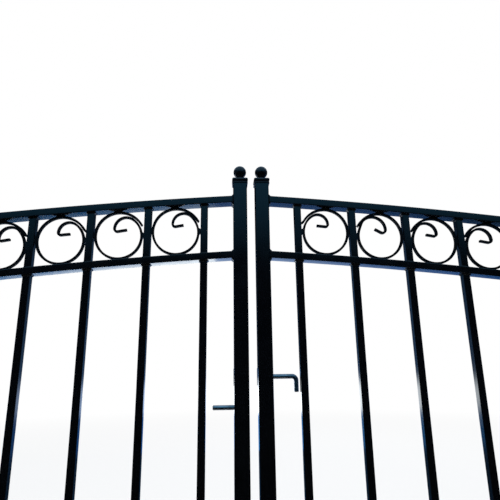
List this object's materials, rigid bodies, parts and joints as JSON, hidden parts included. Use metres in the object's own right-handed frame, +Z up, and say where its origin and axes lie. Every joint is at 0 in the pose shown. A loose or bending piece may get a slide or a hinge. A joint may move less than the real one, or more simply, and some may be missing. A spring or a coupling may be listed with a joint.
{
  "type": "garden gate",
  "caption": "Double-leaf garden gate of square steel tube with arched rails, pickets, scroll rings and ball caps, hinged on posts with base plates.",
  "frame": {"origin": "on the ground, midway between the leaves, in their middle plane", "axes": "+X across the opening towards the right post as seen from outside, +Y to the side the leaves open to, +Z up"},
  "size_m": [3.5322, 0.2, 1.5702],
  "materials": {
    "bar_zinc": "zinc plated",
    "cap_black": "satin black powder coat",
    "fitting_black": "satin black powder coat",
    "hinge_black": "satin black powder coat",
    "picket_black": "satin black powder coat",
    "post_black": "satin black powder coat",
    "rail_black": "satin black powder coat",
    "stile_black": "satin black powder coat",
    "volute_black": "satin black powder coat"
  },
  "bodies": {
    "posts": {"left_post": "post_black", "right_post": "post_black", "left_post_cap": "cap_black", "right_post_cap": "cap_black", "left_upper_pintle": "hinge_black", "left_lower_pintle": "hinge_black", "right_upper_pintle": "hinge_black", "right_lower_pintle": "hinge_black", "floor_keeper": "fitting_black"},
    "left_leaf": {"left_meeting_stile": "stile_black", "left_hinge_stile": "stile_black", "left_top_rail": "rail_black", "left_ring_rail": "rail_black", "left_bottom_rail": "rail_black", "left_meeting_cap": "cap_black", "left_hinge_cap": "cap_black", "left_picket_1": "picket_black", "left_picket_2": "picket_black", "left_picket_3": "picket_black", "left_picket_4": "picket_black", "left_picket_5": "picket_black", "left_picket_6": "picket_black", "left_picket_7": "picket_black", "left_volute_1": "volute_black", "left_volute_2": "volute_black", "left_volute_3": "volute_black", "left_volute_4": "volute_black", "left_volute_5": "volute_black", "left_volute_6": "volute_black", "left_upper_gudgeon": "hinge_black", "left_lower_gudgeon": "hinge_black", "rod_upper_guide": "fitting_black", "rod_lower_guide": "fitting_black", "bolt_keeper": "fitting_black"},
    "right_leaf": {"right_meeting_stile": "stile_black", "right_hinge_stile": "stile_black", "right_top_rail": "rail_black", "right_ring_rail": "rail_black", "right_bottom_rail": "rail_black", "right_meeting_cap": "cap_black", "right_hinge_cap": "cap_black", "right_picket_1": "picket_black", "right_picket_2": "picket_black", "right_picket_3": "picket_black", "right_picket_4": "picket_black", "right_picket_5": "picket_black", "right_picket_6": "picket_black", "right_picket_7": "picket_black", "right_volute_1": "volute_black", "right_volute_2": "volute_black", "right_volute_3": "volute_black", "right_volute_4": "volute_black", "right_volute_5": "volute_black", "right_volute_6": "volute_black", "right_upper_gudgeon": "hinge_black", "right_lower_gudgeon": "hinge_black", "bolt_housing": "fitting_black"},
    "drop_rod": {"drop_rod": "bar_zinc"},
    "slide_bolt": {"slide_bolt": "bar_zinc"}
  },
  "joints": [
    {"name": "left_leaf_swing", "type": "hinge", "parent": "posts", "child": "left_leaf", "pos_m": [-1.588, 0, 0.2], "axis": [0, 0, 1], "range_deg": [0, 100]},
    {"name": "right_leaf_swing", "type": "hinge", "parent": "posts", "child": "right_leaf", "pos_m": [1.588, 0, 0.2], "axis": [0, 0, -1], "range_deg": [0, 100]},
    {"name": "drop_rod_slide", "type": "slide", "parent": "left_leaf", "child": "drop_rod", "axis": [0, 0, -1], "range_m": [0, 0.092]},
    {"name": "slide_bolt_slide", "type": "slide", "parent": "right_leaf", "child": "slide_bolt", "axis": [-1, 0, 0], "range_m": [0, 0.06]}
  ]
}
